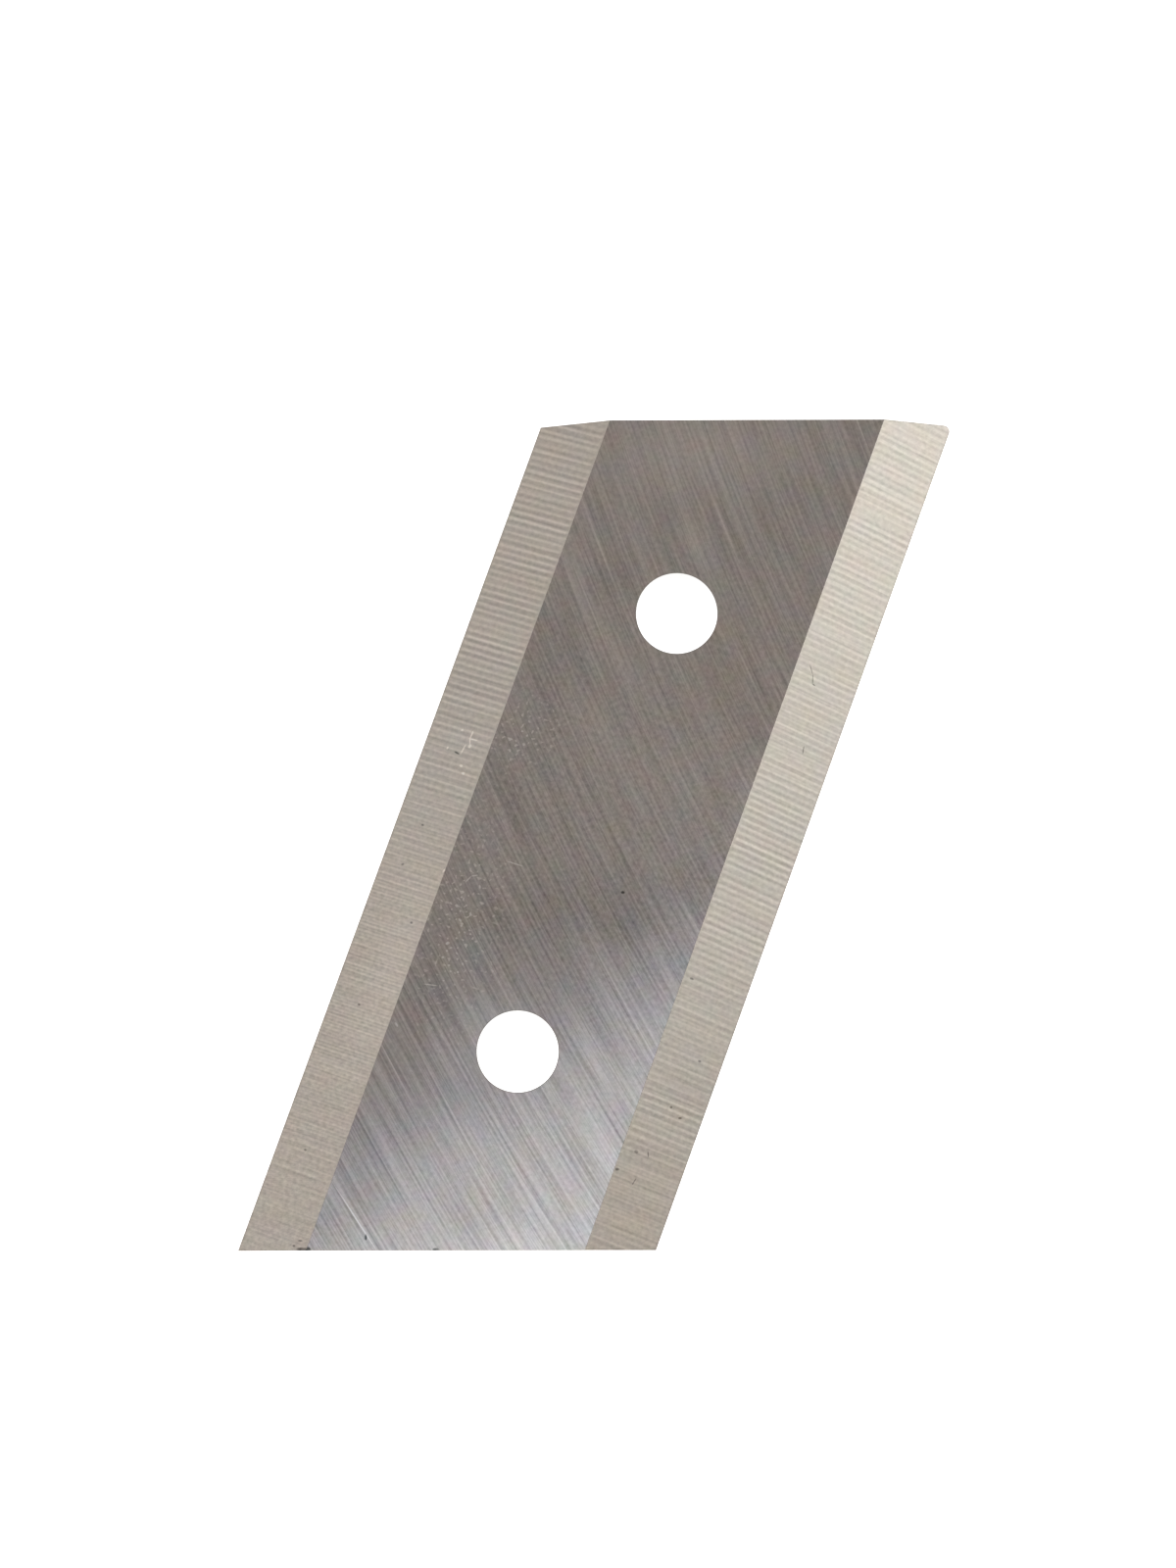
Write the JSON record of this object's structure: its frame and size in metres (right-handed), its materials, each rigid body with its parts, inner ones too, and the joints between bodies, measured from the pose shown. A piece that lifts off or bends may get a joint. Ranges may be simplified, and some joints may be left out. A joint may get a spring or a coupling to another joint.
{
  "type": "garden shredder blade",
  "caption": "Flat reversible shredder blade: slant-ended steel bar with a cutting edge ground along each long side and plain bolt holes on its centre line.",
  "frame": {"origin": "middle of the back face, half-way between the bolt holes", "axes": "+Z out of the ground face, +Y along the cutting edges, +X across the blade to the edge whose sharp corner points to +Y"},
  "size_m": [0.042, 0.1098, 0.0045],
  "materials": {
    "ground_steel": "surface-ground faces with fine scratches, coarser cross marks on the bevels"
  },
  "bodies": {
    "root": {"blade": "ground_steel"}
  },
  "joints": []
}
